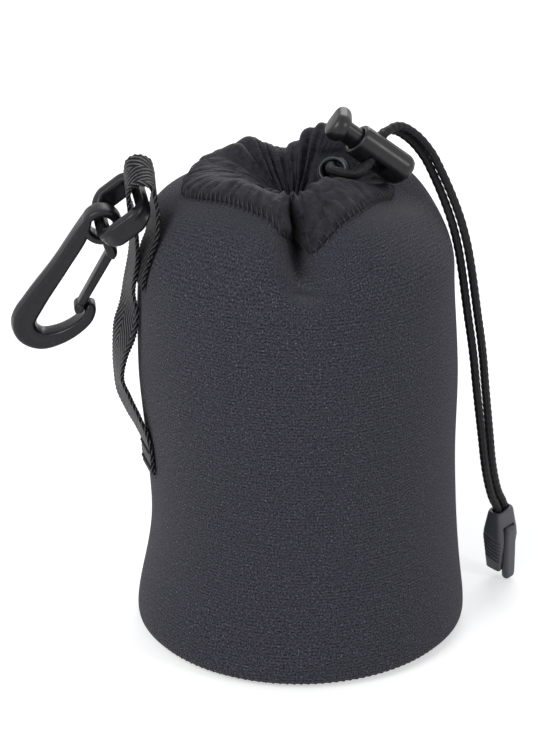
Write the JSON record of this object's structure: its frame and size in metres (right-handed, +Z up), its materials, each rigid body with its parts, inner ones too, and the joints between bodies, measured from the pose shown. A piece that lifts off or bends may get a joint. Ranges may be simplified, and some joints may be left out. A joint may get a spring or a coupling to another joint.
{
  "type": "drawstring lens pouch",
  "caption": "Padded cylindrical drawstring pouch for a camera lens, drawn shut by a cord lock, with a side webbing belt loop that carries a plastic snap hook.",
  "frame": {"origin": "centre of the round base, on the surface that the pouch stands on", "axes": "+Z up through the mouth, -Y to the front with the pleat, -X to the side with the strap and hook, +X to the side with the hanging cord"},
  "size_m": [0.1538, 0.1, 0.1627],
  "materials": {
    "knit": "jersey knit laminated to foam",
    "thin_cloth": "thin plain weave",
    "braid": "round braid",
    "webbing": "herringbone webbing with a slight sheen",
    "gloss_plastic": "moulded, glossy",
    "matte_plastic": "moulded, satin",
    "dark_metal": "dark plated",
    "spring_steel": "plain wire"
  },
  "bodies": {
    "pouch": {"body_panel": "knit", "base_disc": "knit", "collar": "thin_cloth", "eyelet": "dark_metal", "drawstring_loop": "braid", "drawstring_front": "braid", "drawstring_back": "braid", "webbing_strap": "webbing", "lock_barrel": "gloss_plastic", "lock_spring": "spring_steel", "cord_end_body": "matte_plastic", "cord_end_tongue": "matte_plastic"},
    "plunger": {"lock_plunger": "gloss_plastic"},
    "ring": {"hook_ring": "gloss_plastic"},
    "hook": {"hook_body": "gloss_plastic"},
    "gate": {"hook_gate": "gloss_plastic"}
  },
  "joints": [
    {"name": "plunger_press", "type": "slide", "parent": "pouch", "child": "plunger", "axis": [0.789, 0.1422, -0.5977], "range_m": [0, 0.0035], "stiffness_N_per_m": 1500, "deforming": ["lock_spring"]},
    {"name": "ring_swing", "type": "hinge", "parent": "pouch", "child": "ring", "pos_m": [-0.0469, -0.011, 0.1384], "axis": [-0.12, 0.9669, 0.225], "range_deg": [0, 75]},
    {"name": "hook_swing", "type": "hinge", "parent": "ring", "child": "hook", "pos_m": [-0.05808, -0.01036, 0.12967], "axis": [-0.12, 0.9669, 0.225], "range_deg": [0, 70]},
    {"name": "gate_open", "type": "hinge", "parent": "hook", "child": "gate", "pos_m": [-0.0557, -0.00806, 0.12107], "axis": [-0.12, 0.9669, 0.225], "range_deg": [0, 14], "stiffness_Nm_per_rad": 0.03}
  ]
}
